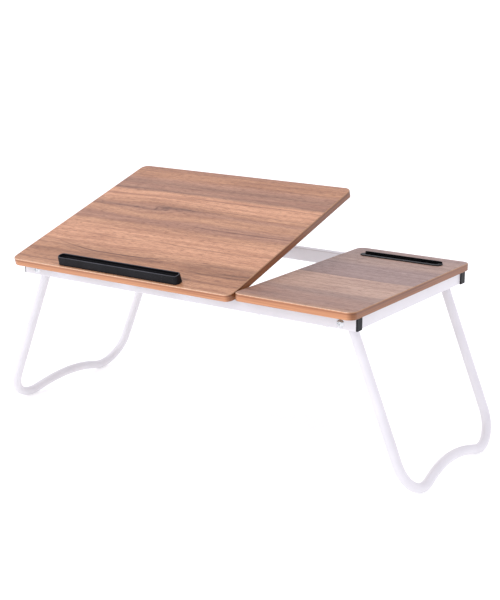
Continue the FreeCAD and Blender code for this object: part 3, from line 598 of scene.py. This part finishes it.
# ---- book stop ----
def make_book_stop(plastic, rim_highlight):
    """A moulded ledge: rounded ends, drafted walls, a groove with a soft rim and two screw wells."""
    low, high = flat_box("book_stop")
    piece = block("book_ledge", low, high)
    middle = (low + high) / 2
    edit(piece)
    pick("EDGE", runs_along(2))
    soften(STOP_CORNER, 10)
    pick("FACE", lies_at(2, high.z))
    narrowed = (1 - STOP_DRAFT / (high.x - low.x), 1 - STOP_DRAFT / (high.y - low.y), 1)
    bpy.ops.transform.resize(value=narrowed, center_override=middle)
    bpy.ops.mesh.inset(thickness=STOP_WALL)
    bpy.ops.mesh.extrude_region_move(TRANSFORM_OT_translate={"value": (0, 0, -STOP_GROOVE)})
    pick("EDGE", outline_at(2, high.z))
    soften(STOP_EDGE, 4)
    pick("EDGE", outline_at(2, high.z - STOP_GROOVE))
    soften(GROOVE_EDGE, 3)
    done()
    for end in (low.x + WELL_INSET, high.x - WELL_INSET):
        seat = Vector((end, middle.y, high.z - WELL_DEPTH))
        carve(piece, rod("screw_well", seat, seat + Vector((0, 0, WELL_CUT)), WELL_RADIUS))
    piece.data.materials.append(plastic)
    piece.data.materials.append(rim_highlight)
    # Upward faces near the top take a paler black: a painted highlight along the rim.
    for face in piece.data.polygons:
        rim = face.center.z > high.z - STOP_HIGHLIGHT_BAND and face.normal.z > 0.35
        face.material_index = 1 if rim else 0
    tilt_up(piece)
    fit(piece, "tilting_board", "black_plastic", "book_stop")


# ---- end caps ----
def make_end_caps(plastic):
    """Push-in caps of the long rails: a soft-edged flange and a plug inside the tube."""
    for rail in ("front", "rear"):
        rail_low, rail_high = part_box(rail + "_rail")
        for side, name in ((-1, "left"), (1, "right")):
            node = rail + "_" + name + "_end_cap"
            low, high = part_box(node)
            inner, outer = (rail_low.x, low.x) if side < 0 else (rail_high.x, high.x)
            piece = block(rail + "_" + name + "_tube_cap", Vector((min(inner, outer), low.y, low.z)),
                          Vector((max(inner, outer), high.y, high.z)))
            edit(piece)
            pick("EDGE", runs_along(0))
            soften(CAP_CORNER, 6)
            pick("FACE", lies_at(0, inner))
            bpy.ops.mesh.inset(thickness=CAP_STEP)
            bpy.ops.mesh.extrude_region_move(TRANSFORM_OT_translate={"value": (-side * CAP_PLUG, 0, 0)})
            pick("EDGE", outline_at(0, outer))
            soften(CAP_EDGE, 4)
            done()
            piece.data.materials.append(plastic)
            fit(piece, "frame", "black_plastic", node)


# ---- studio ----
def place_camera():
    azimuth = math.radians(34.35)
    elevation = math.radians(14.77)
    distance = 1829.4 * MM
    target = Vector((20.0, 0.0, 183.8)) * MM
    back = Vector((math.sin(azimuth) * math.cos(elevation), -math.cos(azimuth) * math.cos(elevation),
                   math.sin(elevation)))
    data = bpy.data.cameras.new("camera")
    data.sensor_fit = "VERTICAL"
    data.sensor_height = 24.0
    data.lens = 52.97
    camera = bpy.data.objects.new("camera", data)
    bpy.context.scene.collection.objects.link(camera)
    camera.location = target + back * distance
    camera.rotation_euler = back.to_track_quat("Z", "Y").to_euler()
    bpy.context.scene.camera = camera


def light_studio():
    """A bright even tent, a broad key light from the front left and a wide white floor."""
    scene = bpy.context.scene
    scene.view_settings.view_transform = "Standard"
    tent = bpy.data.worlds.new("studio")
    tent.use_nodes = True
    tent.node_tree.nodes["Background"].inputs["Color"].default_value = linear("#f6f4fb")
    tent.node_tree.nodes["Background"].inputs["Strength"].default_value = 1.08
    scene.world = tent

    bpy.ops.object.select_all(action="DESELECT")
    bpy.ops.mesh.primitive_plane_add(size=60.0, location=(0, 0, 0))
    floor = bpy.context.object
    floor.name = "floor"
    acrylic, _ = finish("backlit_white_acrylic", "#f4f4f4", 0.95, Emission_Color=(1, 1, 1, 1),
                        Emission_Strength=0.3)
    floor.data.materials.append(acrylic)

    soft = bpy.data.lights.new("key", "SUN")
    soft.energy = 0.8
    soft.angle = math.radians(50)
    key = bpy.data.objects.new("key", soft)
    scene.collection.objects.link(key)
    key.rotation_euler = Vector((-0.45, -0.75, 0.5)).to_track_quat("Z", "Y").to_euler()


# ---- which finish each CAD node that stays gets ----
def paint(material, *nodes):
    for name in nodes:
        node = frame["nodes"][name]
        node.data.materials.clear()
        node.data.materials.append(material)


def dress_nodes(white, black):
    paint(white, "front_rail", "rear_rail", "left_end_rail", "right_end_rail", "middle_rail")
    paint(white, "left_leg_tube", "right_leg_tube", "hinge_rivets", "fixed_board_screws")
    zinc = plated("zinc_plated_steel", "#e4e5e7", "#d2d5d8", 0.24)
    paint(zinc, "leg_pivot_bolts", "leg_lock_nuts", "nut_washers", "hinge_screws", "rack_screws",
          "book_stop_screws")
    for place in ("left", "middle", "right"):
        paint(white, "hinge_frame_leaf_" + place)
        paint(zinc, "hinge_board_leaf_" + place, "hinge_pin_" + place)
    paint(plated("nickel_plated_wire", "#cbc7bd", "#b8b3a8", 0.2), "prop_wire")
    paint(black, "left_rack", "right_rack")
    for side in ("left", "right"):
        paint(black, side + "_leg_front_plug", side + "_leg_rear_plug")
    nylon = moulded("white_nylon", "#e6e5df", "#dcdad2", 0.45)
    paint(nylon, "leg_spacers", "left_prop_bush", "right_prop_bush")
    paint(moulded("black_rubber", "#29292b", "#1f1f21", 0.8), "leg_stop_pads")


def main():
    place_camera()
    light_studio()
    white = powder_coat()
    black = moulded("black_abs", "#111116", "#0c0c10", 0.42)
    # a darker, glossier black for the painted shade inside the slot liner
    glossy_painted_shade = moulded("black_abs_glossy_painted_shade", "#0c0c0e", "#08080a", 0.2, grain=2.0)
    # a paler black for the painted highlight on the book stop's rim
    rim_highlight = moulded("black_abs_painted_rim_highlight", "#4a4a51", "#38383e", 0.35)
    dress_nodes(white, black)
    make_boards()
    make_slot_liner(black, glossy_painted_shade)
    make_book_stop(black, rim_highlight)
    make_end_caps(black)


main()
